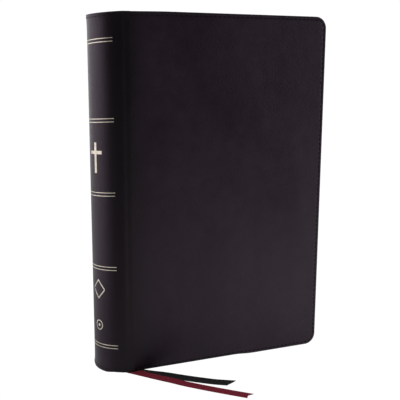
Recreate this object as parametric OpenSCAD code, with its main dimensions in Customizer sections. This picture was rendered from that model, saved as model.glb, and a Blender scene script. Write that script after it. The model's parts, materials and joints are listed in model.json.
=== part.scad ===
// Leather-bound bible standing on its tail edges, covers ajar, with two ribbon markers on the floor.
// +X runs from the spine to the fore-edge, -Y is the front cover's side and +Z runs from tail to head.

/* [Book] */
// Height of the covers and of the spine
book_h = 240; // [200:1:280]
// Width of a cover from its crease to its fore-edge
cover_w = 146.5; // [130:0.5:170]
// Angle by which each cover stands ajar
ajar = 20; // [10:1:25]
// Radius of the fore-edge corners of the covers
corner_r = 8; // [6:1:14]

/* [Spine] */
// Outer radius of the rounded spine
spine_r = 22.4; // [21.5:0.1:24]
// How far the spine bulges beyond the creases
spine_bulge = 10; // [9.5:0.1:10.5]
// Thickness of the leather
leather_t = 0.9; // [0.7:0.1:1]
// Heights of the double gilt rules across the spine
rule_z = [222, 172, 124, 74, 19]; // [10:1:230]

/* [Covers] */
// Thickness of a whole cover
cover_t = 2.4; // [2.2:0.1:2.6]
// Thickness of the stiffening board
board_t = 1.2; // [1:0.1:1.3]
// Distance from the cover's edge to the row of stitches
stitch_inset = 2.2; // [1.8:0.1:3]
// Distance from one stitch to the next
stitch_pitch = 3.3; // [3:0.1:5]

/* [Text block] */
// How far the leaves stop short of the cover's edges
square = 4; // [3:0.5:5]
// Leaf bundles that turn on each side of the middle one
bundles = 4; // [4:1:4]
// Thickness of the bundle in the middle
middle_t = 5.2; // [4:0.1:7]

/* [Ribbons] */
// Width of a ribbon marker
ribbon_w = 7; // [5:0.5:7]
// Thickness of a ribbon marker
ribbon_t = 0.3; // [0.2:0.05:0.3]

/* [Hidden] */
$fn = 96;
eps = 0.01;

// Spine circle and creases
half_t = sqrt(2 * spine_r * spine_bulge - spine_bulge * spine_bulge);
fore_x = cover_w * cos(ajar) + cover_t * sin(ajar);
crease_x = -(fore_x - spine_bulge) / 2;
spine_cx = crease_x - spine_bulge + spine_r;
joint_gap = 2;
strip_gap = 0.3;
strip_in = 1.5;
groove = 0.35;

// Text block: half thickness, hinge line of the leaves and the rounded back
block_gap = 0.25;
half_block = half_t - cover_t - block_gap;
gutter_x = crease_x + 3.5;
back_sag = 9;
back_r = (half_block * half_block + back_sag * back_sag) / (2 * back_sag);
back_cx = gutter_x - back_sag + back_r;
leaf_gap = 0.15;
flyleaf_t = 0.3;
bundle_t = (half_block - flyleaf_t - (bundles + 1) * leaf_gap - middle_t / 2) / bundles;
fore_sag = 4;
fore_r = (half_block * half_block + fore_sag * fore_sag) / (2 * fore_sag);
leaf_end_x = crease_x + cover_w - square;
leaf_corner_r = 6.5;

// Share of the cover's angle that each leaf bundle turns, outermost first
flyleaf_share = 0.7;
bundle_share = [0.6, 0.48, 0.35, 0.2];

// Layers behind the text block, each a ring
layer_clear = 0.05;
thread_t = 0.4;
mull_t = 0.2;
tube_t = 0.25;
inlay_t = 0.6;
tube_half_angle = 48;
inlay_half_angle = 46;
bead_r = 1.2;

// Clearance under the front cover where the ribbons pass
relief_z = 0.9;
relief_r = 94;

// Gilding
foil_t = 0.08;
rule_w = 0.6;
rule_pitch = 2.1;
rule_half_angle = 39;
gilding_slant = 3.9;

// The head of the spine dips in a shallow hollow
head_dip = 2.3;
dip_y = 2;
dip_half_w = 20.65;
dip_r = (dip_half_w * dip_half_w + head_dip * head_dip) / (2 * head_dip);

// Stitches
stitch_len = 2.3;
stitch_w = 0.45;
stitch_t = 0.22;

// Slit between the sewn folds where the ribbons hang, and where it lies
slit_y = -5.3;
slit_w = 1;
notch_w = 3;

// A point given along the front cover (u) and behind its face (v), in the book's frame
function from_cover(u, v) = [
    crease_x + u * cos(ajar) + v * sin(ajar),
    -half_t - u * sin(ajar) + v * cos(ajar)
];
function on_floor(u, v, z, heading) = concat(from_cover(u, v), [z, heading - ajar + 90]);

// Routes of the ribbons: each row is x, y, z and the bearing of the ribbon's width
hang_x = gutter_x - ribbon_w / 2 - 0.1;
burgundy_y = slit_y - 0.2;
black_y = slit_y + 0.2;
burgundy_route = [
    [hang_x, burgundy_y, 233, 0],
    [hang_x, burgundy_y, 190, 0],
    [hang_x, burgundy_y, 150, 0],
    [hang_x, burgundy_y, 110, 0],
    [hang_x, burgundy_y, 70, 0],
    [hang_x, burgundy_y, 40, 0],
    [hang_x, burgundy_y, 20, 0],
    [hang_x, burgundy_y, 8, 0],
    [hang_x, burgundy_y, 4.6, 0],
    [hang_x, burgundy_y - 0.15, 3, 1],
    [hang_x + 0.1, burgundy_y - 0.9, 1.75, 4],
    [hang_x + 0.4, burgundy_y - 2.6, 1.05, 10],
    on_floor(-2.2, 7.9, 0.75, -50),
    on_floor(0.8, 4.4, 0.5, -50),
    on_floor(4.3, 0.3, 0.5, -50),
    on_floor(9.2, -5.4, 0.5, -49),
    on_floor(14.1, -11.1, 0.5, -49),
    on_floor(19, -16.7, 0.5, -48),
    on_floor(24, -22.2, 0.5, -47),
    on_floor(30.2, -28.8, 0.25, -46),
    on_floor(38, -36.8, 0.2, -45),
    on_floor(46, -44.7, 0.2, -44),
    on_floor(54, -52.3, 0.2, -43),
    on_floor(61, -58.8, 0.2, -43)
];
black_route = [
    [hang_x, black_y, 233, 0],
    [hang_x, black_y, 190, 0],
    [hang_x, black_y, 150, 0],
    [hang_x, black_y, 110, 0],
    [hang_x, black_y, 70, 0],
    [hang_x, black_y, 40, 0],
    [hang_x, black_y, 20, 0],
    [hang_x, black_y, 8, 0],
    [hang_x, black_y, 4.3, 0],
    [hang_x, black_y - 0.1, 2.4, 1],
    [hang_x + 0.1, black_y - 0.9, 1.05, 5],
    [hang_x + 0.4, black_y - 2.6, 0.35, 14],
    on_floor(-1.2, 8.5, 0.17, -38),
    on_floor(3.5, 4.4, 0.17, -39),
    on_floor(9, -0.1, 0.17, -39),
    on_floor(14.5, -4.6, 0.17, -40),
    on_floor(20.5, -9.7, 0.17, -41),
    on_floor(27, -15.6, 0.17, -42),
    on_floor(34, -21.8, 0.2, -40),
    on_floor(42, -28.3, 0.2, -38),
    on_floor(50, -34.3, 0.2, -35),
    on_floor(58.5, -39.3, 0.2, -26)
];

// Keeps what is on the ring between radii r0 and r1 within the half angle a of the spine's middle
module ring_sector(cx, r0, r1, a) {
    far = 2 * r1;
    translate([cx, 0]) intersection() {
        difference() {
            circle(r = r1);
            circle(r = r0);
        }
        polygon([[0, 0], [-far, -far * tan(a)], [-far, far * tan(a)]]);
    }
}

// Turns a child about the crease or the gutter, as a cover or leaf bundle opens on the given side
module turned(px, py, angle) {
    translate([px, py, 0]) rotate([0, 0, -angle]) translate([-px, -py, 0]) children();
}

// Mirrors a front piece to the back of the book
module to_side(side) {
    if (side < 0) children();
    else mirror([0, 1, 0]) children();
}

// Plate in the XZ plane between y0 and y1, with rounded corners at its fore-edge end
module plate(x0, x1, z0, z1, y0, y1, r) {
    translate([0, y1, 0]) rotate([90, 0, 0]) linear_extrude(y1 - y0) {
        union() {
            translate([x0, z0]) square([x1 - x0 - r, z1 - z0]);
            translate([x1 - r - eps, z0 + r]) square([r + eps, z1 - z0 - 2 * r]);
            translate([x1 - r, z0 + r]) circle(r = r);
            translate([x1 - r, z1 - r]) circle(r = r);
        }
    }
}

// ---------- Spine ----------

// How far the head of the spine dips at a given y
function head_drop(y) = head_dip * (1 - pow((y - dip_y) / dip_half_w, 2));

module spine_leather() {
    color("#2b262b") difference() {
        intersection() {
            linear_extrude(book_h) ring_sector(spine_cx, spine_r - leather_t, spine_r, 80);
            translate([crease_x - strip_in - 50, -50, 0]) cube([50, 100, book_h]);
        }
        translate([crease_x - 50, dip_y, book_h - head_dip + dip_r])
            rotate([0, 90, 0]) cylinder(r = dip_r, h = 60, $fn = 360);
    }
}

module spine_inlay() {
    r = spine_r - leather_t - 2 * layer_clear;
    color("#8c7d66") translate([0, 0, 3]) linear_extrude(book_h - 6)
        ring_sector(spine_cx, r - inlay_t, r, inlay_half_angle);
}

// Flattened paper tube, glued to the mull on one wall and to the spine on the other
module hollow_tube() {
    wall_out = spine_r - leather_t - inlay_t - 4 * layer_clear;
    wall_in = back_r + thread_t + mull_t + 6 * layer_clear;
    color("#b39f7d") translate([0, 0, 6]) linear_extrude(book_h - 12) difference() {
        intersection() {
            ring_sector(spine_cx, spine_r / 2, wall_out, tube_half_angle);
            difference() {
                translate([spine_cx - 40, -40]) square([80, 80]);
                translate([back_cx, 0]) circle(r = wall_in);
            }
        }
        intersection() {
            ring_sector(spine_cx, spine_r / 2, wall_out - tube_t, tube_half_angle - 1);
            difference() {
                translate([spine_cx - 40, -40]) square([80, 80]);
                translate([back_cx, 0]) circle(r = wall_in + tube_t);
            }
        }
    }
}

module mull() {
    r = back_r + thread_t + 3 * layer_clear;
    color("#e6e0cc") translate([0, 0, 12]) linear_extrude(book_h - 24)
        ring_sector(back_cx, r, r + mull_t, 54);
}

// Threads that run across the section folds at each sewing station
module sewing_thread() {
    stations = 6;
    first_z = 24;
    color("#f2efe6") for (i = [0 : stations - 1])
        translate([0, 0, first_z + i * (book_h - 2 * first_z) / (stations - 1)])
            linear_extrude(thread_t)
                ring_sector(back_cx, back_r + layer_clear, back_r + layer_clear + thread_t, 52);
}

// Woven bead at one end of the text block's rounded back
module end_band(z) {
    half_angle = 52;
    color("#5a1420") translate([back_cx, 0, z]) rotate([0, 0, 180 - half_angle])
        rotate_extrude(angle = 2 * half_angle) translate([back_r - 1.5, 0]) circle(r = bead_r, $fn = 24);
}

module head_band() {
    end_band(book_h - square + bead_r + layer_clear);
}

// The tail's bead has a notch on its inner side for the ribbons
module tail_band() {
    notch_x = gutter_x - ribbon_w - 0.25;
    difference() {
        end_band(square - bead_r - layer_clear);
        translate([notch_x, slit_y - notch_w + slit_w / 2, 0]) cube([10, notch_w, square]);
    }
}

// Wraps a flat figure onto the spine as foil, slanted like all of the gilding
module foil_figure(z, half_angle = 60) {
    color("#b8ad8c") intersection() {
        linear_extrude(book_h) ring_sector(spine_cx, spine_r, spine_r + foil_t, half_angle);
        translate([spine_cx, 0, z]) rotate([90, 0, -90]) linear_extrude(spine_r + 5)
            rotate(gilding_slant) children();
    }
}

// Double rules, each at its height in rule_z where it ends on the front cover's side
module spine_rules() {
    drop = spine_r * sin(rule_half_angle) * tan(gilding_slant);
    for (z = rule_z) foil_figure(z - drop, rule_half_angle) for (s = [-1, 1])
        translate([-spine_r, s * rule_pitch / 2 - rule_w / 2]) square([2 * spine_r, rule_w]);
}

module spine_cross() {
    foil_figure(147) {
        translate([-1.1, -10]) square([2.2, 20]);
        translate([-6, 2.4]) square([12, 2.2]);
    }
}

module spine_lozenge() {
    foil_figure(58) difference() {
        polygon([[0, -7], [6, 0], [0, 7], [-6, 0]]);
        polygon([[0, -5.6], [4.8, 0], [0, 5.6], [-4.8, 0]]);
    }
}

module spine_ring() {
    foil_figure(32.5) {
        difference() {
            circle(r = 3.6);
            circle(r = 2.9);
        }
        circle(r = 1);
    }
}

// Stitches round the head and the tail of the spine
module spine_stitching() {
    step = stitch_pitch / spine_r * 180 / PI;
    count = floor(48 / step);
    color("#111111") for (i = [-count : count])
        for (z = [stitch_inset, book_h - stitch_inset - head_drop(-spine_r * sin(i * step))])
            translate([spine_cx, 0, z]) rotate([0, 0, 180 + i * step])
                translate([spine_r, -stitch_len / 2, -stitch_w / 2]) cube([stitch_t, stitch_len, stitch_w]);
}

// Flexible strip of leather between the spine and a cover
module joint_strip(side) {
    end_y = sqrt(pow(spine_r, 2) - pow(spine_cx - crease_x + strip_in, 2));
    in_y = sqrt(pow(spine_r - leather_t, 2) - pow(spine_cx - crease_x + strip_in, 2));
    x1 = crease_x + joint_gap - strip_gap;
    color("#211c20") to_side(side) translate([0, 0, 1]) linear_extrude(book_h - 1)
        polygon([[crease_x - strip_in, -end_y], [crease_x, -half_t + groove], [x1, -half_t + groove],
            [x1, -half_t + groove + leather_t], [crease_x - strip_in, -in_y]]);
}

module front_joint() {
    joint_strip(-1);
}

module back_joint() {
    joint_strip(1);
}

// ---------- Text block ----------

// Folded backs of the sections, glued and sewn, on one side of the ribbons' slit
module sewn_folds(y0, y1) {
    color("#f0e9d8") translate([0, 0, square]) linear_extrude(book_h - 2 * square) intersection() {
        translate([back_cx, 0]) circle(r = back_r);
        translate([back_cx - 2 * back_r, y0]) square([2 * back_r - back_cx + gutter_x, y1 - y0]);
    }
}

module sewn_folds_front() {
    sewn_folds(-half_block, slit_y - slit_w / 2);
}

module sewn_folds_back() {
    sewn_folds(slit_y + slit_w / 2, half_block);
}

// Leaves between the depths d0 and d1, measured from the front of the closed text block
module leaves(d0, d1, start) {
    intersection() {
        plate(gutter_x + start, leaf_end_x, square, book_h - square,
            -half_block + d0, -half_block + d1, leaf_corner_r);
        difference() {
            translate([gutter_x, -half_block, 0])
                cube([leaf_end_x - gutter_x, 2 * half_block, book_h]);
            translate([leaf_end_x + fore_r - fore_sag, 0, 0]) cylinder(r = fore_r, h = book_h, $fn = 180);
        }
    }
}

module pages_middle() {
    color("#f0e9d8") leaves(half_block - middle_t / 2, half_block + middle_t / 2, 0);
}

module flyleaf(side) {
    color("#e4e0d6") to_side(side) turned(gutter_x, -half_block, ajar * flyleaf_share)
        leaves(0, flyleaf_t, 0.2);
}

module bundle(side, i) {
    d0 = flyleaf_t + leaf_gap + i * (bundle_t + leaf_gap);
    color("#f0e9d8") to_side(side) turned(gutter_x, -half_block, ajar * bundle_share[i])
        leaves(d0, d0 + bundle_t, 0.2);
}

module front_flyleaf() {
    flyleaf(-1);
}

module back_flyleaf() {
    flyleaf(1);
}

module pages_front_1() {
    bundle(-1, 0);
}

module pages_front_2() {
    bundle(-1, 1);
}

module pages_front_3() {
    bundle(-1, 2);
}

module pages_front_4() {
    bundle(-1, 3);
}

module pages_back_1() {
    bundle(1, 0);
}

module pages_back_2() {
    bundle(1, 1);
}

module pages_back_3() {
    bundle(1, 2);
}

module pages_back_4() {
    bundle(1, 3);
}

// ---------- Covers ----------

// Puts a cover's piece, drawn closed at the front, in its place
module on_cover(side) {
    to_side(side) turned(crease_x, -half_t, ajar) children();
}

// Plate inset from the cover's edges, between two depths behind its outer face
module cover_plate(inset, d0, d1) {
    plate(crease_x + joint_gap + inset, crease_x + cover_w - inset, inset, book_h - inset,
        -half_t + d0, -half_t + d1, corner_r - inset);
}

// Space under the front cover's tail edge for the ribbons
module tail_relief(side) {
    if (side < 0) translate([crease_x - 5, -half_t - 5, -5]) cube([5 + relief_r, 15, 5 + relief_z]);
}

rim = 1.2;
board_clear = 0.05;

// Leather with its edges turned over the board
module cover_leather(side) {
    color("#2b262b") on_cover(side) difference() {
        cover_plate(0, 0, cover_t);
        cover_plate(rim, leather_t, cover_t + 1);
        tail_relief(side);
    }
}

module cover_board(side) {
    color("#8c7d66") on_cover(side)
        cover_plate(rim + board_clear, leather_t, leather_t + board_t);
}

module pastedown(side) {
    color("#1d1a1c") on_cover(side)
        cover_plate(rim + board_clear, leather_t + board_t, cover_t);
}

// Row of stitches from one point to another on the cover's outer face
module stitch_row(x0, z0, x1, z1) {
    run = sqrt(pow(x1 - x0, 2) + pow(z1 - z0, 2));
    count = floor(run / stitch_pitch);
    bearing = atan2(z1 - z0, x1 - x0);
    translate([x0, -half_t - stitch_t, z0]) rotate([0, -bearing, 0]) for (i = [0 : count - 1])
        translate([(i + 0.5) * run / count - stitch_len / 2, 0, -stitch_w / 2])
            cube([stitch_len, stitch_t, stitch_w]);
}

// Stitches round a rounded corner whose middle is at x, z
module stitch_corner(x, z, from) {
    r = corner_r - stitch_inset;
    count = 3;
    for (i = [0 : count - 1])
        translate([x, -half_t - stitch_t, z]) rotate([0, -(from + (i + 0.5) * 90 / count), 0])
            translate([r - stitch_w / 2, 0, -stitch_len / 2]) cube([stitch_w, stitch_t, stitch_len]);
}

module cover_stitching(side) {
    x0 = crease_x + joint_gap + 1;
    x1 = crease_x + cover_w - stitch_inset;
    z0 = stitch_inset;
    z1 = book_h - stitch_inset;
    c = corner_r - stitch_inset;
    color("#111111") on_cover(side) {
        stitch_row(x0, z0, x1 - c, z0);
        stitch_row(x0, z1, x1 - c, z1);
        stitch_row(x1, z0 + c, x1, z1 - c);
        stitch_corner(x1 - c, z0 + c, -90);
        stitch_corner(x1 - c, z1 - c, 0);
    }
}

module front_cover_leather() {
    cover_leather(-1);
}

module front_cover_board() {
    cover_board(-1);
}

module front_pastedown() {
    pastedown(-1);
}

module front_cover_stitching() {
    cover_stitching(-1);
}

module back_cover_leather() {
    cover_leather(1);
}

module back_cover_board() {
    cover_board(1);
}

module back_pastedown() {
    pastedown(1);
}

module back_cover_stitching() {
    cover_stitching(1);
}

// ---------- Ribbon markers ----------

// Ring of eight points across a ribbon, at row i of its route
function route_point(route, i) = [route[i][0], route[i][1], route[i][2]];
function tangent(route, i) = let(
    d = route_point(route, min(i + 1, len(route) - 1)) - route_point(route, max(i - 1, 0))
) d / norm(d);
function ribbon_ring(route, i) = let(
    p = route_point(route, i),
    side = [cos(route[i][3]), sin(route[i][3]), 0],
    up = cross(side, tangent(route, i)),
    w = ribbon_w / 2,
    t = ribbon_t / 2,
    profile = [[w, t / 3], [w - t, t], [t - w, t], [-w, t / 3],
        [-w, -t / 3], [t - w, -t], [w - t, -t], [w, -t / 3]]
) [for (q = profile) p + q[0] * side + q[1] * up];

module ribbon(route) {
    sides = 8;
    rings = len(route);
    points = [for (i = [0 : rings - 1]) each ribbon_ring(route, i)];
    walls = [for (i = [0 : rings - 2]) for (j = [0 : sides - 1])
        let(a = i * sides + j, b = i * sides + (j + 1) % sides) [a, b, b + sides, a + sides]];
    first_cap = [for (j = [sides - 1 : -1 : 0]) j];
    last_cap = [for (j = [0 : sides - 1]) (rings - 1) * sides + j];
    polyhedron(points, concat(walls, [first_cap, last_cap]), convexity = 6);
}

module ribbon_black() {
    color("#141416") ribbon(black_route);
}

module ribbon_burgundy() {
    color("#64192a") ribbon(burgundy_route);
}

spine_leather();
spine_inlay();
hollow_tube();
mull();
sewing_thread();
head_band();
tail_band();
spine_rules();
spine_cross();
spine_lozenge();
spine_ring();
spine_stitching();
front_joint();
back_joint();
sewn_folds_front();
sewn_folds_back();
pages_middle();
front_cover_leather();
front_cover_board();
front_pastedown();
front_cover_stitching();
back_cover_leather();
back_cover_board();
back_pastedown();
back_cover_stitching();
front_flyleaf();
pages_front_1();
pages_front_2();
pages_front_3();
pages_front_4();
back_flyleaf();
pages_back_1();
pages_back_2();
pages_back_3();
pages_back_4();
ribbon_black();
ribbon_burgundy();
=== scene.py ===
"""Leather-bound bible standing ajar on its tail, with two ribbon markers on the floor."""

import json
import math
import random

import bmesh
import bpy
import numpy as np
from mathutils import Matrix, Vector


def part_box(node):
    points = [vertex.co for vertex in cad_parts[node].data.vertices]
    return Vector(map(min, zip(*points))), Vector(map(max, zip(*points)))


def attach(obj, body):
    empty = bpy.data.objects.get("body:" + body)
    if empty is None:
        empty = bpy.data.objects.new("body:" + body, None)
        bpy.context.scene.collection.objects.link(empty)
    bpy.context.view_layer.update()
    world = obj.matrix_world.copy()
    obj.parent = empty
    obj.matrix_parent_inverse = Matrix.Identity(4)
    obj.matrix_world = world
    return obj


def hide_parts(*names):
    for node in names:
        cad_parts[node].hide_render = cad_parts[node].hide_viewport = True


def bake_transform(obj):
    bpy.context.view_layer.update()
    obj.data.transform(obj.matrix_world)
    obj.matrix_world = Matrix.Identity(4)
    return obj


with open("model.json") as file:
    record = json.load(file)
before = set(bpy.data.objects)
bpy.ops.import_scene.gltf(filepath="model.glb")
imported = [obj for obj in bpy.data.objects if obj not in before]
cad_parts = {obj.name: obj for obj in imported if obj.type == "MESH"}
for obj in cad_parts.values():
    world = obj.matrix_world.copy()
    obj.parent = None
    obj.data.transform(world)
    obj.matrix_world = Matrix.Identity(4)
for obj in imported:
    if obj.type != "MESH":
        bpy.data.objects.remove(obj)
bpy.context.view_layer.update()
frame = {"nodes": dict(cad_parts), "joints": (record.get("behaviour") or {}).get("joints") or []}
random.seed(7)

# ---------------------------------------------------------------- sizes, all in metres
MM = 0.001
hinge = {j["name"]: j for j in frame["joints"]}
CREASE_X, front_y = hinge["front_cover_hinge"]["pos_m"][:2]
HALF_T = -front_y
GUTTER_X, leaf_y = hinge["front_flyleaf_hinge"]["pos_m"][:2]
HALF_BLOCK = -leaf_y
AJAR = -math.radians(hinge["front_cover_hinge"]["range_deg"][0])
BOOK_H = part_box("spine_leather")[1].z
SPINE_R = 22.4 * MM
SPINE_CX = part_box("spine_leather")[0].x + SPINE_R
CREASE_ANGLE = math.asin(HALF_T / SPINE_R)
COVER_W = 146.5 * MM
CORNER_R = 8 * MM
LEATHER_T = 0.9 * MM
SQUARE = 4 * MM
LEAF_W = CREASE_X + COVER_W - SQUARE - GUTTER_X
LEAF_CORNER_R = 6.5 * MM
FORE_SAG = 4 * MM
FORE_R = (HALF_BLOCK**2 + FORE_SAG**2) / (2 * FORE_SAG)
FLYLEAF_T = 0.3 * MM
LEAF_GAP = 0.15 * MM
MIDDLE_T = 5.2 * MM
BUNDLES = 4
BUNDLE_T = (HALF_BLOCK - FLYLEAF_T - (BUNDLES + 1) * LEAF_GAP - MIDDLE_T / 2) / BUNDLES
STITCH_INSET = 2.2 * MM
STITCH_PITCH = 3.3 * MM
COVER_STITCH = (2.5 * MM, 0.55 * MM, 0.42 * MM)  # length, width, height
SPINE_STITCH = (2.4 * MM, 0.5 * MM, 0.4 * MM)
RIBBON_W = 7 * MM
RIBBON_T = 0.3 * MM
RELIEF_Z = 0.9 * MM
RELIEF_R = 94 * MM
RELIEF_RAMP = 14 * MM
RELIEF_H = 7 * MM
HEAD_DIP = 2 * MM
DIP_Y = 12 * MM
DIP_HALF_W = 36 * MM
DIP_FADE = 34 * MM
HEAD_REACH = 9 * MM
SLANT = math.radians(3.9)


def share(leaf):
    """Part of the cover's angle that a leaf body turns."""
    return hinge[leaf + "_hinge"]["range_deg"][0] / hinge["front_cover_hinge"]["range_deg"][0]


def from_cover(u, v):
    """A point u along the front cover and v behind its face, in mm, in the book's frame."""
    c, s = math.cos(AJAR), math.sin(AJAR)
    return CREASE_X + (u * c + v * s) * MM, -HALF_T + (-u * s + v * c) * MM


# ---------------------------------------------------------------- camera
def make_camera():
    """Camera at the photograph's place: given along and behind the front cover, in mm."""
    c, s = math.cos(AJAR), math.sin(AJAR)
    eye_u, eye_v, eye_z = -123.5, -427.9, 206.7
    x, y = from_cover(eye_u, eye_v)
    ahead_u, ahead_v, ahead_z = 0.3725, 0.9083, -0.1906
    ahead = Vector((ahead_u * c + ahead_v * s, -ahead_u * s + ahead_v * c, ahead_z)).normalized()
    right = ahead.cross(Vector((0, 0, 1))).normalized()
    up = right.cross(ahead)
    roll = math.radians(0.29)
    right, up = right * math.cos(roll) + up * math.sin(roll), up * math.cos(roll) - right * math.sin(roll)
    data = bpy.data.cameras.new("camera")
    data.sensor_width = 36
    data.lens = 62.66
    camera = bpy.data.objects.new("camera", data)
    bpy.context.scene.collection.objects.link(camera)
    turn = Matrix((right, up, -ahead)).transposed().to_4x4()
    camera.matrix_world = Matrix.Translation((x, y, eye_z * MM)) @ turn
    bpy.context.scene.camera = camera


# ---------------------------------------------------------------- material helpers
class Nodes:
    """Short names for building a node material."""

    def __init__(self, name, base, roughness, metallic=0.0, specular=0.5):
        self.material = bpy.data.materials.new(name)
        self.material.use_nodes = True
        self.tree = self.material.node_tree
        self.bsdf = self.tree.nodes["Principled BSDF"]
        self.bsdf.inputs["Base Color"].default_value = (*base, 1)
        self.bsdf.inputs["Roughness"].default_value = roughness
        self.bsdf.inputs["Metallic"].default_value = metallic
        self.bsdf.inputs["Specular IOR Level"].default_value = specular

    def add(self, kind, **values):
        """A new node, with its settings."""
        node = self.tree.nodes.new("ShaderNode" + kind)
        for key, value in values.items():
            setattr(node, key, value)
        return node

    def link(self, a, b):
        self.tree.links.new(a, b)

    def place(self, scale=(1, 1, 1)):
        """Object coordinates, stretched by scale."""
        where = self.add("TexCoord")
        mapping = self.add("Mapping")
        mapping.inputs["Scale"].default_value = scale
        self.link(where.outputs["Object"], mapping.inputs["Vector"])
        return mapping.outputs["Vector"]

    def noise(self, where, scale, detail=3.0, rough=0.55):
        node = self.add("TexNoise")
        node.inputs["Scale"].default_value = scale
        node.inputs["Detail"].default_value = detail
        node.inputs["Roughness"].default_value = rough
        self.link(where, node.inputs["Vector"])
        return node.outputs["Fac"]

    def ramp(self, value, low, high, from_min=0.3, from_max=0.7):
        """value, with from_min to from_max spread over low to high."""
        node = self.add("MapRange")
        node.inputs["From Min"].default_value = from_min
        node.inputs["From Max"].default_value = from_max
        node.inputs["To Min"].default_value = low
        node.inputs["To Max"].default_value = high
        self.link(value, node.inputs["Value"])
        return node.outputs["Result"]

    def mix(self, value, first, second):
        """Colour between first and second."""
        node = self.add("Mix", data_type="RGBA")
        for index, colour in ((6, first), (7, second)):
            if isinstance(colour, tuple):
                node.inputs[index].default_value = (*colour, 1)
            else:
                self.link(colour, node.inputs[index])
        self.link(value, node.inputs[0])
        return node.outputs[2]

    def math(self, operation, a, b):
        node = self.add("Math", operation=operation)
        for index, value in ((0, a), (1, b)):
            if isinstance(value, (int, float)):
                node.inputs[index].default_value = value
            else:
                self.link(value, node.inputs[index])
        return node.outputs[0]

    def bump(self, height, depth, before=None):
        """Normals of a relief that is depth deep, on top of the normals before it."""
        node = self.add("Bump")
        node.inputs["Distance"].default_value = depth
        node.inputs["Strength"].default_value = 1.0
        self.link(height, node.inputs["Height"])
        if before is not None:
            self.link(before, node.inputs["Normal"])
        return node.outputs["Normal"]

    def set(self, socket, output):
        """Links an output to one of the surface's sockets."""
        self.link(output, self.bsdf.inputs[socket])


def leather_material():
    """Near-black satin leather with a fine pebbled grain and a faint purple cast, darkened in the hinge by
    painted shade.
    """
    m = Nodes("black_leather", (0.0095, 0.0058, 0.0100), 0.38, specular=0.16)
    m.bsdf.inputs["Specular Tint"].default_value = (1.0, 0.84, 1.0, 1)
    where = m.place()
    cells = m.add("TexVoronoi", feature="F1")
    cells.inputs["Scale"].default_value = 1300
    cells.inputs["Randomness"].default_value = 0.9
    m.link(where, cells.inputs["Vector"])
    grain = m.noise(where, 900, 4, 0.6)
    wrinkles = m.noise(where, 110, 4, 0.6)
    cloud = m.noise(m.place((1, 1, 0.55)), 26, 3, 0.55)
    height = m.math("ADD", m.math("MULTIPLY", cells.outputs["Distance"], 0.6), grain)
    fine = m.bump(height, 0.00008)
    waves = m.bump(m.noise(m.place((1, 1, 0.6)), 30, 2, 0.5), 0.00045, fine)
    m.set("Normal", m.bump(wrinkles, 0.00014, waves))
    mottle = m.math("ADD", m.math("MULTIPLY", cloud, 0.65), m.math("MULTIPLY", wrinkles, 0.35))
    mix = m.ramp(mottle, 0, 1, 0.35, 0.65)
    colour = m.mix(mix, (0.0062, 0.0036, 0.0066), (0.0126, 0.0076, 0.0132))
    # Painted shade: the base colour is darkened towards the hinge
    shade = m.add("Attribute", attribute_name="shade")
    m.set("Base Color", m.mix(shade.outputs["Fac"], (0.0022, 0.0016, 0.0021), colour))
    m.set("Roughness", m.ramp(mottle, 0.32, 0.45))
    return m.material


def thread_material(name, base):
    """Bonded thread with a fine twist."""
    m = Nodes(name, base, 0.75, specular=0.08)
    twist = m.noise(m.place(), 5000, 2, 0.5)
    m.set("Normal", m.bump(twist, 0.00004))
    m.set("Roughness", m.ramp(twist, 0.65, 0.85))
    return m.material


def foil_material():
    """Pale gold stamping foil, slightly broken up by the leather's grain."""
    m = Nodes("gilt_foil", (0.52, 0.48, 0.38), 0.4, metallic=0.6)
    where = m.place()
    grain = m.noise(where, 1800, 3, 0.6)
    patch = m.noise(where, 160, 3, 0.6)
    m.set("Base Color", m.mix(m.ramp(patch, 0, 1), (0.36, 0.33, 0.26), (0.58, 0.54, 0.45)))
    m.set("Roughness", m.ramp(grain, 0.32, 0.55))
    m.set("Normal", m.bump(grain, 0.00002))
    return m.material


DARK_GILT = (0.46, 0.33, 0.13)
LIGHT_GILT = (0.74, 0.56, 0.28)


def page_edge_material():
    """Gilt on the edges of many thin leaves: fine lines that follow each leaf."""
    m = Nodes("gilt_page_edges", (0.62, 0.45, 0.2), 0.34, metallic=0.9)
    depth = m.add("Attribute", attribute_name="depth")
    lines = m.add("TexNoise", noise_dimensions="1D")
    lines.inputs["Scale"].default_value = 14
    lines.inputs["Detail"].default_value = 3
    m.link(depth.outputs["Fac"], lines.inputs["W"])
    soft = m.noise(m.place(), 60, 2, 0.5)
    m.set("Base Color", m.mix(m.ramp(lines.outputs["Fac"], 0, 1), DARK_GILT, LIGHT_GILT))
    m.set("Roughness", m.ramp(soft, 0.28, 0.42))
    m.set("Normal", m.bump(lines.outputs["Fac"], 0.00008))
    return m.material


def paper_material(name, first, second):
    """Thin paper with faint fibres and show-through."""
    m = Nodes(name, first, 0.8, specular=0.25)
    where = m.place()
    fibres = m.noise(where, 700, 4, 0.65)
    cloud = m.noise(where, 30, 3, 0.5)
    m.set("Base Color", m.mix(m.ramp(cloud, 0, 1), first, second))
    m.set("Normal", m.bump(fibres, 0.00003))
    m.set("Roughness", m.ramp(fibres, 0.7, 0.9))
    return m.material


def gilt_block_material():
    """The folded backs of the sections: paper, with gilt on the head and tail."""
    m = Nodes("sewn_folds_paper", (0.8, 0.76, 0.66), 0.7)
    lines = m.noise(m.place((1, 1, 0.02)), 2500, 2, 0.5)
    normal = m.add("NewGeometry")
    split = m.add("SeparateXYZ")
    m.link(normal.outputs["True Normal"], split.inputs[0])
    flat = m.math("GREATER_THAN", m.math("ABSOLUTE", split.outputs["Z"], 0), 0.7)
    paper = m.mix(m.ramp(lines, 0, 1), (0.62, 0.58, 0.48), (0.82, 0.78, 0.68))
    gilt = m.mix(m.ramp(lines, 0, 1), DARK_GILT, LIGHT_GILT)
    m.set("Base Color", m.mix(flat, paper, gilt))
    m.set("Metallic", m.math("MULTIPLY", flat, 0.9))
    m.set("Normal", m.bump(lines, 0.00005))
    return m.material


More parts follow.
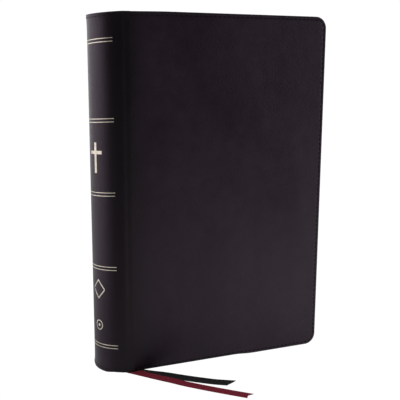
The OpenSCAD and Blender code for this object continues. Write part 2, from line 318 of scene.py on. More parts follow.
def woven_material(name, first, second, scale, depth):
    """Plain weave, or card and kraft paper when the weave is coarse and shallow."""
    m = Nodes(name, first, 0.85, specular=0.2)
    warp = m.noise(m.place((1, 1, 0.06)), scale, 2, 0.5)
    weft = m.noise(m.place((0.06, 0.06, 1)), scale, 2, 0.5)
    cloth = m.math("ADD", m.math("MULTIPLY", warp, 0.5), m.math("MULTIPLY", weft, 0.5))
    m.set("Base Color", m.mix(m.ramp(cloth, 0, 1), first, second))
    m.set("Normal", m.bump(cloth, depth))
    return m.material


def ribbon_material(name, dark, light, sheen):
    """Satin ribbon: threads along its length, brighter where they catch the light."""
    m = Nodes(name, dark, 0.42, specular=0.3)
    m.bsdf.inputs["Sheen Weight"].default_value = sheen
    m.bsdf.inputs["Sheen Roughness"].default_value = 0.4
    across = m.add("Attribute", attribute_name="across")
    along = m.add("Attribute", attribute_name="along")
    threads = m.add("TexNoise", noise_dimensions="2D")
    threads.inputs["Scale"].default_value = 1
    threads.inputs["Detail"].default_value = 2
    join = m.add("CombineXYZ")
    m.link(m.math("MULTIPLY", across.outputs["Fac"], 6.0), join.inputs[0])
    m.link(m.math("MULTIPLY", along.outputs["Fac"], 0.35), join.inputs[1])
    m.link(join.outputs[0], threads.inputs["Vector"])
    rib = m.add("TexWave", wave_type="BANDS", bands_direction="X")
    rib.inputs["Scale"].default_value = 1.1
    turn = m.add("CombineXYZ")
    m.link(along.outputs["Fac"], turn.inputs[0])
    m.link(turn.outputs[0], rib.inputs["Vector"])
    height = m.math("ADD", threads.outputs["Fac"], m.math("MULTIPLY", rib.outputs["Fac"], 0.35))
    m.set("Base Color", m.mix(m.ramp(threads.outputs["Fac"], 0, 1), dark, light))
    m.set("Normal", m.bump(height, 0.00005))
    m.set("Roughness", m.ramp(threads.outputs["Fac"], 0.34, 0.55))
    return m.material


def band_material():
    """End band: burgundy and cream threads wound in turn over a core."""
    m = Nodes("end_band_thread", (0.25, 0.03, 0.05), 0.6)
    stripe = m.add("Attribute", attribute_name="stripe")
    fuzz = m.noise(m.place(), 3000, 2, 0.5)
    m.set("Base Color", m.mix(stripe.outputs["Fac"], (0.20, 0.02, 0.04), (0.72, 0.66, 0.52)))
    m.set("Normal", m.bump(fuzz, 0.00003))
    return m.material


# ---------------------------------------------------------------- mesh helpers
def smooth_step(t):
    """0 up to t = 0 and 1 from t = 1, with a soft rise between."""
    t = min(1, max(0, t))
    return t * t * (3 - 2 * t)


def make_object(name, points, faces, materials, face_material=None, sharp=40):
    """A mesh object from lists of points and faces, smooth apart from its sharp edges."""
    mesh = bpy.data.meshes.new(name)
    mesh.from_pydata([tuple(p) for p in points], [], faces)
    for material in materials:
        mesh.materials.append(material)
    if face_material is not None:
        mesh.polygons.foreach_set("material_index", face_material)
    mesh.validate()
    mesh.shade_smooth()
    mesh.set_sharp_from_angle(angle=math.radians(sharp))
    obj = bpy.data.objects.new(name, mesh)
    bpy.context.scene.collection.objects.link(obj)
    return obj


def set_attribute(obj, name, values):
    """One number for each vertex, for the material to read."""
    attribute = obj.data.attributes.new(name, "FLOAT", "POINT")
    attribute.data.foreach_set("value", np.asarray(values, np.float32))


def tube_faces(rings, size, caps=True):
    """Faces of a tube of rings with size points each, with its two ends closed by caps."""
    faces = [
        (i * size + j, i * size + (j + 1) % size, (i + 1) * size + (j + 1) % size, (i + 1) * size + j)
        for i in range(rings - 1) for j in range(size)
    ]
    if caps:
        faces.append(tuple(reversed(range(size))))
        faces.append(tuple((rings - 1) * size + j for j in range(size)))
    return faces


def join_parts(parts):
    """Several lists of points and faces as one."""
    points, faces = [], []
    for p, f in parts:
        first = len(points)
        points += p
        faces += [tuple(i + first for i in face) for face in f]
    return points, faces


def mirrored(points, faces, side):
    """The front's points and faces, or their mirror image for the back."""
    if side < 0:
        return points, faces
    return [(x, -y, z) for x, y, z in points], [tuple(reversed(f)) for f in faces]


def turn_about(x, y, px, py, angle):
    """The point x, y turned about px, py, in the way the front cover opens."""
    c, s = math.cos(angle), math.sin(angle)
    dx, dy = x - px, y - py
    return px + dx * c + dy * s, py - dx * s + dy * c


def fix_normals(obj):
    """Turns all faces of a closed mesh outwards."""
    shape = bmesh.new()
    shape.from_mesh(obj.data)
    bmesh.ops.recalc_face_normals(shape, faces=shape.faces)
    shape.to_mesh(obj.data)
    shape.free()


# ---------------------------------------------------------------- leather skin of spine and joints
EDGE_FLARE = 0.5 * MM
JOINT_TAIL = 1 * MM
GROOVE_DEPTH = 0.3 * MM
GROOVE_S = 1.0 * MM
GROOVE_HALF_W = 1.9 * MM
JOINT_START = -7 * MM
JOINT_END = 4.5 * MM


def sharp_outline(s):
    """Outer face at the distance s past the front crease, before smoothing."""
    if s > 0:
        return np.array([CREASE_X + s * math.cos(AJAR), -HALF_T - s * math.sin(AJAR)])
    phi = CREASE_ANGLE + s / SPINE_R
    return np.array([SPINE_CX - SPINE_R * math.cos(phi), -SPINE_R * math.sin(phi)])


def outline(s):
    """Outer face of the leather at the distance s, with the bend rounded and the groove pressed in."""
    spread = np.linspace(-2.4, 2.4, 13)
    weight = np.exp(-(spread / 1.2) ** 2)
    point = sum(w * sharp_outline(s + d * MM) for w, d in zip(weight, spread)) / weight.sum()
    shift = sharp_outline(s + 0.1 * MM) - sharp_outline(s - 0.1 * MM)
    tangent = shift / np.linalg.norm(shift)
    normal = np.array([tangent[1], -tangent[0]])
    depth = GROOVE_DEPTH * math.exp(-(((s - GROOVE_S) / GROOVE_HALF_W) ** 2))
    return point - normal * depth, normal


def head_drop(y):
    """How far the head of the spine dips at a given y."""
    return HEAD_DIP * (1 - ((y - DIP_Y) / DIP_HALF_W) ** 2)


def painted_hinge_shade(s):
    """Painted shade at the hinge, s past the crease: 0 where the leather's colour is darkest, in the hinge,
    rising to 1 away from it.
    """
    return min(1, smooth_step((-s - 8 * MM) / (9 * MM)) + smooth_step(s / (22 * MM)))


def edge_drop(s, side):
    """The dip at the distance s past the front or back crease. It fades out along the cover."""
    y = side * (SPINE_R * math.sin(CREASE_ANGLE + min(s, 0) / SPINE_R))
    return head_drop(y) * (1 - smooth_step((s + 2 * MM) / DIP_FADE))


def skin(distances, z0, side):
    """Rings of a closed strip of leather along the outline, with rolled edges, and the size of a ring."""
    edge = LEATHER_T / 2
    span = BOOK_H - z0 - 2 * edge
    heights = [z0 + edge + span * smooth_step(t) for t in np.linspace(0, 1, 33)]
    arc = np.linspace(0, math.pi, 7)[1:-1]
    section = [(0, z) for z in heights]
    section += [(edge - edge * math.cos(a), BOOK_H - edge + edge * math.sin(a)) for a in arc]
    section += [(LEATHER_T, z) for z in reversed(heights)]
    section += [(edge + edge * math.cos(a), z0 + edge - edge * math.sin(a)) for a in arc]
    points = []
    for s in distances:
        (x, y), (nx, ny) = outline(s)
        for inward, z in section:
            end = min(z - z0, BOOK_H - z)
            out = EDGE_FLARE * math.exp(-end / (2.5 * MM)) - inward
            near_head = math.exp(-(((BOOK_H - z) / HEAD_REACH) ** 2))
            near_tail = math.exp(-(((z - z0) / (3 * MM)) ** 2)) * smooth_step((s + 17 * MM) / (9 * MM))
            lift = near_tail * (JOINT_TAIL - z0)
            points.append((x + nx * out, y + ny * out, z - edge_drop(s, side) * near_head + lift))
    return points, len(section)


def make_spine_and_joints(leather):
    """Spine skin between the two joint skins."""
    middle = -CREASE_ANGLE * SPINE_R
    half = list(np.linspace(JOINT_START, middle, 40))
    points, size = skin(half, 0.0, -1)
    back = [(x, -y, z) for x, y, z in skin(half, 0.0, 1)[0]]
    points += [p for i in reversed(range(len(half) - 1)) for p in back[i * size:(i + 1) * size]]
    order = half + half[-2::-1]
    spine = make_object("spine_skin", points, tube_faces(len(order), size), [leather])
    # Painted shade that darkens the leather in the hinge
    set_attribute(spine, "shade", [painted_hinge_shade(s) for s in order for _ in range(size)])
    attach(spine, "spine")
    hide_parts("spine_leather")
    fix_normals(spine)
    for side, word in ((-1, "front"), (1, "back")):
        distances = list(np.linspace(JOINT_START, JOINT_END, 36))
        points, size = skin(distances, JOINT_TAIL, side)
        points, faces = mirrored(points, tube_faces(len(distances), size), side)
        joint = make_object(word + "_joint_skin", points, faces, [leather])
        # Painted shade that darkens the leather in the hinge
        set_attribute(joint, "shade", [painted_hinge_shade(s) for s in distances for _ in range(size)])
        fix_normals(joint)
        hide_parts(word + "_joint")
        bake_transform(joint)


# ---------------------------------------------------------------- covers
COLUMNS, ROWS = 44, 48


def cover_outline(inset):
    """Edge of the cover at that inset: tail, fore-edge and head, as x and z from the crease."""
    x0, x1 = JOINT_END - 0.2 * MM, COVER_W - inset
    z0, z1 = inset, BOOK_H - inset
    r = max(CORNER_R - inset, 0.5 * MM)
    edge = [(x, z0) for x in np.linspace(x0, x1 - r, COLUMNS)]
    quarter = np.linspace(0, math.pi / 2, 13)
    edge += [(x1 - r + r * math.sin(a), z0 + r - r * math.cos(a)) for a in quarter[1:]]
    edge += [(x1, z) for z in np.linspace(z0 + r, z1 - r, 40)[1:-1]]
    edge += [(x1 - r + r * math.cos(a), z1 - r + r * math.sin(a)) for a in quarter]
    edge += [(x, z1) for x in np.linspace(x1 - r, x0, COLUMNS)[1:]]
    return edge


def relief(x, z):
    """How far the front cover's tail is lifted over the ribbons. It fades out upwards."""
    ramp = smooth_step((RELIEF_R - x) / RELIEF_RAMP)
    return RELIEF_Z * ramp * max(0, 1 - z / RELIEF_H)


# Inset from the cover's edge and depth behind its outer face, from inside the pocket to the middle
COVER_SECTION = [
    (1.35, 2.08), (1.25, 2.3), (1.1, 2.4), (0.6, 2.38), (0.25, 2.2), (0.07, 1.85), (0, 1.4), (0, 0.95),
    (0.08, 0.55), (0.3, 0.22), (0.7, 0.04), (1.2, 0), (1.65, 0.02), (1.95, 0.1), (2.2, 0.16),
    (2.45, 0.1), (2.75, 0.02), (3.3, 0), (5, 0),
]


def cover_point(x, z, depth, side):
    """A point of the ajar front cover, x past the crease, with its lifted tail and dipping head."""
    lift = relief(x, z) if side < 0 else 0
    lift -= edge_drop(x, side) * math.exp(-(((BOOK_H - z) / HEAD_REACH) ** 2))
    px, py = turn_about(CREASE_X + x, -HALF_T + depth, CREASE_X, -HALF_T, AJAR)
    return px, py, z + lift


def undulation(x, z):
    """Slight unevenness of the leather's face, nothing at the edges."""
    wave = (math.sin(x / (9.5 * MM) + 1.3 * math.sin(z / (31 * MM)))
            + 0.8 * math.sin(z / (17 * MM) + x / (23 * MM))
            + 0.7 * math.sin(x / (21 * MM) - z / (13 * MM) + 2))
    inside = smooth_step(min(x, COVER_W - x, z, BOOK_H - z) / (22 * MM))
    return 0.045 * MM * wave * inside


def make_cover(side, leather):
    """Leather cover with rolled edges, a stitched channel and a pocket for board and pastedown."""
    word = "front" if side < 0 else "back"
    points, painted_shades = [], []
    for inset, depth in COVER_SECTION:
        for x, z in cover_outline(inset * MM):
            points.append(cover_point(x, z, depth * MM, side))
            painted_shades.append(painted_hinge_shade(x))
    size = len(cover_outline(0))
    rings = len(COVER_SECTION)
    faces = [
        (i * size + j, i * size + j + 1, (i + 1) * size + j + 1, (i + 1) * size + j)
        for i in range(rings - 1) for j in range(size - 1)
    ]
    # The outer face is a grid of columns, from the hinge to where the corners begin
    last = (rings - 1) * size
    innermost = cover_outline(COVER_SECTION[-1][0] * MM)
    grid = []
    for i in range(COLUMNS):
        x, z0 = innermost[i]
        z1 = innermost[size - 1 - i][1]
        column = [last + i]
        for t in np.linspace(0, 1, ROWS)[1:-1]:
            z = z0 + (z1 - z0) * t
            column.append(len(points))
            points.append(cover_point(x, z, -undulation(x, z), side))
            painted_shades.append(painted_hinge_shade(x))
        grid.append(column + [last + size - 1 - i])
    faces += [
        (a[k], b[k], b[k + 1], a[k + 1]) for a, b in zip(grid, grid[1:]) for k in range(ROWS - 1)
    ]
    # The strip between the two corners, the pocket's floor and the edge at the hinge are one face each
    faces.append(tuple(last + j for j in range(COLUMNS, size - COLUMNS)) + tuple(reversed(grid[-1])))
    faces.append(tuple(reversed(range(size))))
    faces.append(tuple(i * size for i in range(rings)) + tuple(grid[0][1:-1])
                 + tuple(i * size + size - 1 for i in reversed(range(rings))))
    points, faces = mirrored(points, faces, side)
    cover = make_object(word + "_cover_skin", points, faces, [leather])
    # Painted shade that darkens the leather near the hinge
    set_attribute(cover, "shade", painted_shades)
    fix_normals(cover)
    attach(cover, word + "_cover")
    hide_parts(word + "_cover_leather")


def capsule(centre, along, up, size):
    """One stitch: a rounded thread of some length, width and height, lying on a surface."""
    length, width, height = size
    along, up = np.array(along, float), np.array(up, float)
    across = np.cross(up, along)
    rings, sides = 7, 8
    points = []
    for i in range(rings):
        t = -1 + 2 * i / (rings - 1)
        r = max(0.12, math.sqrt(max(0, 1 - t**4)))
        sink = 0.35 * height * t * t
        for j in range(sides):
            a = 2 * math.pi * j / sides
            p = np.array(centre) + along * t * length / 2
            p = p + across * math.cos(a) * r * width / 2 + up * (math.sin(a) * r * height / 2 - sink)
            points.append(tuple(p))
    return points, tube_faces(rings, sides)


def make_cover_stitching(side, thread):
    """Saddle stitches in the channel round the cover."""
    word = "front" if side < 0 else "back"
    path = [np.array(p) for p in cover_outline(STITCH_INSET)]
    gaps = [np.linalg.norm(b - a) for a, b in zip(path, path[1:])]
    total = sum(gaps)
    count = int(total / STITCH_PITCH)
    marks = np.concatenate([[0], np.cumsum(gaps)])
    xs, zs = np.array(path).T
    c, s = math.cos(AJAR), math.sin(AJAR)
    step = 0.3 * MM
    parts = []
    for i in range(count):
        at = (i + 0.5) * total / count
        x, z = np.interp(at, marks, xs), np.interp(at, marks, zs)
        dx, dz = np.interp(at + step, marks, xs) - x, np.interp(at + step, marks, zs) - z
        run = math.hypot(dx, dz)
        centre = cover_point(x, z, 0.04 * MM, side)
        along = (dx / run * c, -dx / run * s, dz / run)
        parts.append(capsule(centre, along, (-s, -c, 0), COVER_STITCH))
    points, faces = join_parts(parts)
    points, faces = mirrored(points, faces, side)
    stitching = make_object(word + "_stitches", points, faces, [thread], sharp=80)
    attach(stitching, word + "_cover")
    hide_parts(word + "_cover_stitching")


def make_spine_stitching(thread):
    """Stitches round the head and the tail of the spine."""
    step = STITCH_PITCH / SPINE_R
    count = int(math.radians(48) / step)
    r = SPINE_R + 0.22 * MM
    parts = []
    for head in (False, True):
        for i in range(-count, count + 1):
            a = i * step
            out = (-math.cos(a), math.sin(a), 0)
            z = BOOK_H - STITCH_INSET - head_drop(out[1] * r) if head else STITCH_INSET
            centre = (SPINE_CX + out[0] * r, out[1] * r, z)
            parts.append(capsule(centre, (math.sin(a), math.cos(a), 0), out, SPINE_STITCH))
    points, faces = join_parts(parts)
    stitching = make_object("spine_stitches", points, faces, [thread], sharp=80)
    fix_normals(stitching)
    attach(stitching, "spine")
    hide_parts("spine_stitching")


# ---------------------------------------------------------------- gilding on the spine
FOIL_LOW, FOIL_HIGH = SPINE_R + 0.01 * MM, SPINE_R + 0.08 * MM
RULE_Z = [222, 172, 124, 74, 19]  # mm
RULE_HALF_ANGLE = math.radians(39)
RULE_PITCH = 2.1 * MM
RULE_W = 0.48 * MM


def on_spine(y, z, r):
    """A flat figure's point, y across and z up, wrapped on the spine and slanted."""
    a = y / SPINE_R
    return SPINE_CX - r * math.cos(a), r * math.sin(a), z - r * math.sin(a) * math.tan(SLANT)


def foil_bar(y0, y1, z0, z1, lean0=0.0, lean1=0.0):
    """Bar of foil from y0 to y1. lean0 and lean1 shift its ends up, for slanted bars."""
    steps = int((y1 - y0) / (0.8 * MM)) + 1
    points = []
    for t in np.linspace(0, 1, steps):
        y, lean = y0 + (y1 - y0) * t, lean0 + (lean1 - lean0) * t
        points += [on_spine(y, z0 + lean, FOIL_LOW), on_spine(y, z1 + lean, FOIL_LOW),
                   on_spine(y, z1 + lean, FOIL_HIGH), on_spine(y, z0 + lean, FOIL_HIGH)]
    return points, tube_faces(steps, 4)


def foil_ring(z, r0, r1):
    """Ring of foil, or a disc when r0 is small."""
    count = 48
    points = []
    for i in range(count):
        a = 2 * math.pi * i / count
        c, s = math.cos(a), math.sin(a)
        points += [on_spine(r0 * c, z + r0 * s, FOIL_LOW), on_spine(r1 * c, z + r1 * s, FOIL_LOW),
                   on_spine(r1 * c, z + r1 * s, FOIL_HIGH), on_spine(r0 * c, z + r0 * s, FOIL_HIGH)]
    faces = tube_faces(count, 4, caps=False)
    last = (count - 1) * 4
    faces += [(last + j, last + (j + 1) % 4, (j + 1) % 4, j) for j in range(4)]
    return points, faces


def make_foil(name, node, parts, foil):
    """One figure of foil, in place of its CAD node."""
    points, faces = join_parts(parts)
    figure = make_object(name, points, faces, [foil])
    fix_normals(figure)
    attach(figure, "spine")
    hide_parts(node)


def make_rules():
    """Five double rules."""
    reach = RULE_HALF_ANGLE * SPINE_R
    drop = SPINE_R * math.sin(RULE_HALF_ANGLE) * math.tan(SLANT)
    rules = []
    for z in RULE_Z:
        for shift in (-RULE_PITCH / 2, RULE_PITCH / 2):
            low = z * MM + shift - RULE_W / 2 - drop
            rules.append(foil_bar(-reach, reach, low, low + RULE_W))
    return rules


def make_cross():
    """Plain cross: its upright below the arms, the arms, and the upright above them."""
    half_w, half_arms = 1.1 * MM, 6 * MM
    foot, arms_low, arms_high, top = 137 * MM, 149.4 * MM, 151.6 * MM, 157 * MM
    return [
        foil_bar(-half_w, half_w, foot, arms_low),
        foil_bar(-half_arms, half_arms, arms_low, arms_high),
        foil_bar(-half_w, half_w, arms_high, top),
    ]


def make_lozenge():
    """Outline of a lozenge: two slanted bars up to its top and two down to its foot."""
    half_w, half_h, line = 6 * MM, 7 * MM, 1.2 * MM
    z = 58 * MM
    bars = []
    for tip in (half_h - line / 2, line / 2 - half_h):
        bars.append(foil_bar(-half_w, 0, z - line / 2, z + line / 2, 0, tip))
        bars.append(foil_bar(0, half_w, z - line / 2, z + line / 2, tip, 0))
    return bars


def make_gilding(foil):
    """Double rules, a plain cross, a lozenge, and a ring with a dot."""
    make_foil("gilt_rules", "spine_rules", make_rules(), foil)
    make_foil("gilt_cross", "spine_cross", make_cross(), foil)
    make_foil("gilt_lozenge", "spine_lozenge", make_lozenge(), foil)
    ring_z = 32.5 * MM
    ring = [foil_ring(ring_z, 2.9 * MM, 3.6 * MM), foil_ring(ring_z, 0.02 * MM, 1.0 * MM)]
    make_foil("gilt_ring", "spine_ring", ring, foil)


# ---------------------------------------------------------------- leaves
ARCH = 26 * MM  # width of the stretch that bends at the gutter
TUCK = 2 * MM
FAN = 1.2 * MM


def leaf_reach(depth):
    """Width of a leaf at that depth: the fore-edge is hollow, as the back is round."""
    y = depth - HALF_BLOCK
    return LEAF_W + FORE_R - FORE_SAG - math.sqrt(FORE_R**2 - y * y)


def leaf_sheet(depth, thick, angle, splay):
    """One clump of leaves, from the gutter to the fore-edge, arched into the gutter."""
    reach = leaf_reach(depth + thick / 2)
    fall = LEAF_CORNER_R
    xs = [-TUCK, 0, 2 * MM, 5 * MM, 8 * MM, 12 * MM, 16 * MM, 21 * MM, 26 * MM, 34 * MM, 50 * MM,
          75 * MM, 100 * MM, 118 * MM]
    xs += [reach - fall + fall * math.sin(a) for a in np.linspace(0, math.pi / 2, 9)]
    points, depths = [], []
    for x in xs:
        past = max(0, x - (reach - fall))
        cut = fall - math.sqrt(max(0, fall**2 - past**2))
        low, high = SQUARE + cut, BOOK_H - SQUARE - cut
        drift = splay * max(0, x / reach) ** 2
        turn = angle * smooth_step(x / ARCH)
        for d in (depth, depth + thick):
            px, py = turn_about(GUTTER_X + x, -HALF_BLOCK + d + drift, GUTTER_X, -HALF_BLOCK, turn)
            pair = [(px, py, low), (px, py, high)]
            points += pair if d == depth else pair[::-1]
            depths += [d / MM, d / MM]
    faces = tube_faces(len(xs), 4)
    # Faces 0 and 2 of each ring of four are the leaf's two sides, and the others are its edges
    kind = [0, 1, 0, 1] * (len(xs) - 1) + [1, 1]
    return points, faces, kind, depths


def leaf_clumps(depth, total, count, angle, spread_in, spread_out):
    """Clumps that fill a bundle, and fan out a little towards the fore-edge."""
    points, faces, kinds, depths = [], [], [], []
    pitch = total / count
    for i in range(count):
        t = i / max(1, count - 1)
        splay = -spread_out * (1 - t) + spread_in * t + random.uniform(-0.12, 0.12) * MM
        if count == 1:
            splay = 0
        thick = pitch * random.uniform(0.84, 0.97)
        p, f, k, d = leaf_sheet(depth + i * pitch, thick, angle, splay)
        first = len(points)
        points += p
        faces += [tuple(j + first for j in face) for face in f]
        kinds += k
        depths += d
    return points, faces, kinds, depths


def make_leaves(node, side, clumps, materials):
    """Clumps of leaves, in place of their CAD node."""
    points, faces, kinds, depths = clumps
    points, faces = mirrored(points, faces, side)
    leaves = make_object(node + "_leaves", points, faces, materials, kinds, sharp=35)
    set_attribute(leaves, "depth", depths)
    fix_normals(leaves)
    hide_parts(node)
    return leaves


def make_text_block(paper, edge, dark):
    """All leaves: two black flyleaves, four bundles a side and the middle one."""
    for side, word in ((-1, "front"), (1, "back")):
        plan = [(word + "_flyleaf", 0.0, FLYLEAF_T, 1, 0, 0)]
        for i in range(BUNDLES):
            depth = FLYLEAF_T + LEAF_GAP + i * (BUNDLE_T + LEAF_GAP)
            plan.append((f"pages_{word}_{i + 1}", depth, BUNDLE_T, 9, FAN, 0 if i == 0 else FAN))
        for body, depth, total, count, spread_in, spread_out in plan:
            angle = AJAR * share(body)
            clumps = leaf_clumps(depth, total, count, angle, spread_in, spread_out)
            materials = [dark, dark] if count == 1 else [paper, edge]
            leaves = make_leaves(body, side, clumps, materials)
            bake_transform(leaves)
    clumps = leaf_clumps(HALF_BLOCK - MIDDLE_T / 2, MIDDLE_T, 14, 0, 1.0 * MM, 1.0 * MM)
    middle = make_leaves("pages_middle", -1, clumps, [paper, edge])
    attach(middle, "spine")


# ---------------------------------------------------------------- end bands
BEAD_R = 1.1 * MM
BACK_SAG = 9 * MM


def make_end_bands(material):
    """Wound bead at the head and tail of the text block's round back."""
    back_r = (HALF_BLOCK**2 + BACK_SAG**2) / (2 * BACK_SAG)
    back_cx = GUTTER_X - BACK_SAG + back_r
    half = math.radians(52)
    rings, size, turns = 241, 12, 26
    for node, z in (("head_band", BOOK_H - SQUARE + BEAD_R), ("tail_band", SQUARE - BEAD_R)):
        points, stripes = [], []
        for i in range(rings):
            t = i / (rings - 1)
            a = -half + 2 * half * t
            wave = math.cos(2 * math.pi * turns * t)
            r = 0.94 * BEAD_R + 0.06 * MM * wave
            stripe = 1 if int(turns * t + 0.5) % 2 else 0
            for j in range(size):
                b = 2 * math.pi * j / size
                rr = back_r - 1.5 * MM + r * math.cos(b)
                points.append((back_cx - rr * math.cos(a), rr * math.sin(a), z + r * math.sin(b)))
                stripes.append(stripe)
        band = make_object(node + "_wound", points, tube_faces(rings, size), [material], sharp=80)
        set_attribute(band, "stripe", stripes)
        fix_normals(band)
        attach(band, "spine")
        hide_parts(node)


# ---------------------------------------------------------------- ribbon markers
def floor_row(u, v, z, heading):
    """Row of a ribbon's route on the floor: x, y, z in metres and the bearing of its width."""
    x, y = from_cover(u, v)
    return x, y, z * MM, heading - math.degrees(AJAR) + 90


SLIT_Y = -5.3 * MM
HANG_X = GUTTER_X - RIBBON_W / 2 - 0.1 * MM
BURGUNDY_Y = SLIT_Y - 0.2 * MM
BLACK_Y = SLIT_Y + 0.2 * MM
CURL_START = 254 * MM
CURL_RAMP = 18 * MM
# Rows of x, y, z and bearing: down through the book, under the front cover and along the floor
BURGUNDY_ROUTE = [
    *[(HANG_X, BURGUNDY_Y, z * MM, 0) for z in (233, 190, 150, 110, 70, 40, 20, 8, 4.6)],
    (HANG_X, BURGUNDY_Y - 0.15 * MM, 3 * MM, 1),
    (HANG_X + 0.1 * MM, BURGUNDY_Y - 0.9 * MM, 1.75 * MM, 4),
    (HANG_X + 0.4 * MM, BURGUNDY_Y - 2.6 * MM, 1.05 * MM, 10),
    floor_row(-2.2, 7.9, 0.75, -50),
    floor_row(0.8, 4.4, 0.5, -50),
    floor_row(4.3, 0.3, 0.5, -50),
    floor_row(9.2, -5.4, 0.5, -49),
    floor_row(14.1, -11.1, 0.5, -49),
    floor_row(19, -16.7, 0.5, -48),
    floor_row(24, -22.2, 0.5, -47),
    floor_row(30.2, -28.8, 0.25, -46),
    floor_row(38, -36.8, 0.2, -45),
    floor_row(46, -44.7, 0.2, -44),
    floor_row(54, -52.3, 0.2, -43),
    floor_row(61, -58.8, 0.2, -43),
]
BLACK_ROUTE = [
    *[(HANG_X, BLACK_Y, z * MM, 0) for z in (233, 190, 150, 110, 70, 40, 20, 8, 4.3)],
    (HANG_X, BLACK_Y - 0.1 * MM, 2.4 * MM, 1),
    (HANG_X + 0.1 * MM, BLACK_Y - 0.9 * MM, 1.05 * MM, 5),
    (HANG_X + 0.4 * MM, BLACK_Y - 2.6 * MM, 0.35 * MM, 14),
    floor_row(-1.2, 8.5, 0.17, -38),
    floor_row(3.5, 4.4, 0.17, -39),
    floor_row(9, -0.1, 0.17, -39),
    floor_row(14.5, -4.6, 0.17, -40),
    floor_row(20.5, -9.7, 0.17, -41),
    floor_row(27, -15.6, 0.17, -42),
    floor_row(34, -21.8, 0.2, -40),
    floor_row(42, -28.3, 0.2, -38),
    floor_row(50, -34.3, 0.2, -35),
    floor_row(58.5, -39.3, 0.2, -26),
]


def smooth_route(route, steps):
    """Points on a smooth curve through the route's rows."""
    rows = np.array(route)
    out = []
    for i in range(len(rows) - 1):
        a, b, c, d = rows[max(i - 1, 0)], rows[i], rows[i + 1], rows[min(i + 2, len(rows) - 1)]
        before = max(1e-6, np.linalg.norm((b - a)[:3])) if i else 1
        span = np.linalg.norm((c - b)[:3])
        after = max(1e-6, np.linalg.norm((d - c)[:3])) if i < len(rows) - 2 else 1
        m1 = (c - a) / (before + span) * span if i else c - b
        m2 = (d - b) / (span + after) * span if i < len(rows) - 2 else c - b
        for t in np.linspace(0, 1, steps, endpoint=False):
            h = (2 * t**3 - 3 * t**2 + 1, t**3 - 2 * t**2 + t, 3 * t**2 - 2 * t**3, t**3 - t**2)
            out.append(h[0] * b + h[1] * m1 + h[2] * c + h[3] * m2)
    out.append(rows[-1])
    return np.array(out)


def make_ribbon(name, node, route, tip, curl, material):
    """Woven ribbon along a route.

    tip is how far its end runs on at one edge, the middle and the other edge, in mm. curl is how
    far the other edge lifts off the floor.
    """
    rows = smooth_route(route, 5)
    half = 13
    # Places across the ribbon, with its thin edges and the thicker selvedge just inside them
    profile = list(zip(np.linspace(-1, 1, half), [0.55, 1.25, *[1.0] * (half - 4), 1.25, 0.55]))
    points, wide, far = [], [], []
    path = rows[:, :3]
    run = np.concatenate([[0], np.cumsum(np.linalg.norm(np.diff(path, axis=0), axis=1))])
    for i, row in enumerate(rows):
        bearing = math.radians(row[3])
        side = np.array([math.cos(bearing), math.sin(bearing), 0])
        ahead = path[min(i + 1, len(path) - 1)] - path[max(i - 1, 0)]
        ahead = ahead / np.linalg.norm(ahead)
        up = np.cross(side, ahead)
        for face in (1, -1):
            for a, thick in profile[::face]:
                on = np.interp(a, (-1, 0, 1), tip) * MM if i == len(rows) - 1 else 0.0
                q = path[i] + side * a * RIBBON_W / 2 + up * face * thick * RIBBON_T / 2 + ahead * on
                lift = curl * smooth_step((run[i] - CURL_START) / CURL_RAMP) * max(0, a) ** 1.5
                q[2] = max(q[2] + lift, 0.02 * MM)
                points.append(tuple(q))
                wide.append(a * RIBBON_W / 2 / MM)
                far.append((run[i] + on) / MM)
    size = 2 * half
    faces = tube_faces(len(rows), size, caps=False)
    for first in (0, (len(rows) - 1) * size):
        for j in range(half - 1):
            faces.append((first + j, first + j + 1, first + size - 2 - j, first + size - 1 - j))
    ribbon = make_object(name, points, faces, [material], sharp=60)
    set_attribute(ribbon, "across", wide)
    set_attribute(ribbon, "along", far)
    fix_normals(ribbon)
    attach(ribbon, "spine")
    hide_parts(node)


# ---------------------------------------------------------------- carried-over CAD pieces
def dress_cad_nodes(materials):
    """Gives each CAD node that stays its material: pairs of node names and a material."""
    for nodes, material in materials:
        for node in nodes:
            mesh = frame["nodes"][node].data
            mesh.materials.clear()
            mesh.materials.append(material)


# ---------------------------------------------------------------- stage
FLOOR_HALF = 1.3
FLOOR_GREY = 0.6
FLOOR_GLOW = 0.05
WHITE = 1.05
# Brighter spots of the floor: x and y of the middle and radius in metres, and brightness
FORE_EDGE_SPOT = (*from_cover(290, -160), 0.42, 1.8)
SPINE_SPOT = (-0.42, 0.22, 0.36, 1.5)


def floor_spot(m, x, y, radius, strength):
    """Soft round spot in the floor's plane."""
    coordinates = m.add("TexCoord")
    shift = m.add("Mapping", vector_type="TEXTURE")
    shift.inputs["Location"].default_value = (x, y, 0)
    shift.inputs["Scale"].default_value = (radius, radius, 1)
    m.link(coordinates.outputs["Object"], shift.inputs["Vector"])
    spot = m.add("TexGradient", gradient_type="SPHERICAL")
    m.link(shift.outputs["Vector"], spot.inputs["Vector"])
    return m.math("MULTIPLY", spot.outputs["Fac"], strength)


def floor_material():
    """White to the camera. Towards the book it glows in front of the fore-edge and beside the spine."""
    m = Nodes("floor_white", (FLOOR_GREY,) * 3, 0.8, specular=0.2)
    spots = m.math("ADD", floor_spot(m, *FORE_EDGE_SPOT), floor_spot(m, *SPINE_SPOT))
    m.bsdf.inputs["Emission Color"].default_value = (1, 1, 1, 1)
    m.set("Emission Strength", m.math("ADD", spots, FLOOR_GLOW))
    white = m.add("Emission")
    white.inputs["Strength"].default_value = WHITE
    path = m.add("LightPath")
    mix = m.add("MixShader")
    m.link(path.outputs["Is Camera Ray"], mix.inputs[0])
    m.link(m.bsdf.outputs[0], mix.inputs[1])
    m.link(white.outputs[0], mix.inputs[2])
    m.link(mix.outputs[0], m.tree.nodes["Material Output"].inputs["Surface"])
    return m.material


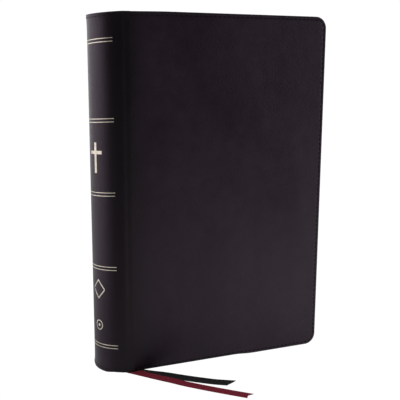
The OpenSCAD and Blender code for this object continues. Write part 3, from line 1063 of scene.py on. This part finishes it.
def make_floor():
    """Square of floor under the book."""
    r = FLOOR_HALF
    mesh = bpy.data.meshes.new("floor")
    mesh.from_pydata([(-r, -r, 0), (r, -r, 0), (r, r, 0), (-r, r, 0)], [], [(0, 1, 2, 3)])
    mesh.materials.append(floor_material())
    floor = bpy.data.objects.new("floor", mesh)
    bpy.context.scene.collection.objects.link(floor)


def area_light(name, place, target, size, radiance, colour=(1, 1, 1)):
    """Soft panel of a given size and brightness, aimed at a point."""
    data = bpy.data.lights.new(name, "AREA")
    data.shape = "RECTANGLE"
    data.size, data.size_y = size
    data.energy = radiance * math.pi * size[0] * size[1]
    data.color = colour
    light = bpy.data.objects.new(name, data)
    bpy.context.scene.collection.objects.link(light)
    light.location = place
    aim = Vector(target) - Vector(place)
    light.rotation_euler = aim.to_track_quat("-Z", "Y").to_euler()
    light.visible_camera = False


def make_room():
    """A backdrop that is white to the camera and dim towards the book."""
    world = bpy.data.worlds.new("studio")
    world.use_nodes = True
    tree = world.node_tree
    backdrop = tree.nodes["Background"]
    backdrop.inputs[0].default_value = (1, 1, 1, 1)
    backdrop.inputs[1].default_value = WHITE
    room = tree.nodes.new("ShaderNodeBackground")
    room.inputs[0].default_value = (1, 0.97, 1, 1)
    room.inputs[1].default_value = 0.12
    path = tree.nodes.new("ShaderNodeLightPath")
    mix = tree.nodes.new("ShaderNodeMixShader")
    tree.links.new(path.outputs["Is Camera Ray"], mix.inputs[0])
    tree.links.new(room.outputs[0], mix.inputs[1])
    tree.links.new(backdrop.outputs[0], mix.inputs[2])
    tree.links.new(mix.outputs[0], tree.nodes["World Output"].inputs[0])
    bpy.context.scene.world = world
    bpy.context.scene.view_settings.view_transform = "Standard"


def make_lights():
    """Soft panels round the book."""
    middle = (0, 0, BOOK_H / 2)
    area_light("back_panel", (0.3, 1.5, 0.5), middle, (2.6, 1.8), 1.6, (1, 0.97, 1))
    area_light("left_panel", (-1.1, 0.8, 0.3), middle, (1.4, 1.2), 3.0, (1, 0.94, 1))
    area_light("front_panel", (0.72, -1.15, 0.22), middle, (0.7, 0.8), 3.0)
    area_light("top_panel", (0, 0, 1.6), middle, (2.2, 2.2), 1.5)


# ---------------------------------------------------------------- build
make_camera()
make_ribbon("burgundy_ribbon", "ribbon_burgundy", BURGUNDY_ROUTE, (1.2, 0.6, 3.4), 0,
            ribbon_material("burgundy_satin", (0.13, 0.006, 0.016), (0.21, 0.010, 0.028), 0.08))
make_ribbon("black_ribbon", "ribbon_black", BLACK_ROUTE, (-2.6, 0.2, 3.4), 0.5 * MM,
            ribbon_material("black_satin", (0.0055, 0.0055, 0.006), (0.012, 0.012, 0.014), 0.06))
leather = leather_material()
thread = thread_material("black_thread", (0.0035, 0.003, 0.0035))
make_spine_and_joints(leather)
for cover_side in (-1, 1):
    make_cover(cover_side, leather)
    make_cover_stitching(cover_side, thread)
make_spine_stitching(thread)
make_gilding(foil_material())
paper = paper_material("bible_paper", (0.80, 0.77, 0.70), (0.86, 0.83, 0.77))
dark_paper = paper_material("black_endpaper", (0.016, 0.014, 0.016), (0.022, 0.019, 0.022))
make_text_block(paper, page_edge_material(), dark_paper)
make_end_bands(band_material())
card = woven_material("grey_board", (0.20, 0.17, 0.13), (0.27, 0.23, 0.18), 1200, 0.00003)
dress_cad_nodes([
    (["spine_inlay", "front_cover_board", "back_cover_board"], card),
    (["hollow_tube"], woven_material("kraft_paper", (0.34, 0.24, 0.14), (0.42, 0.31, 0.19), 1500, 0.00002)),
    (["mull"], woven_material("gauze", (0.62, 0.59, 0.50), (0.80, 0.77, 0.68), 2200, 0.00008)),
    (["sewing_thread"], thread_material("linen_thread", (0.75, 0.72, 0.64))),
    (["sewn_folds_front", "sewn_folds_back"], gilt_block_material()),
    (["front_pastedown", "back_pastedown"], dark_paper),
])
make_floor()
make_room()
make_lights()
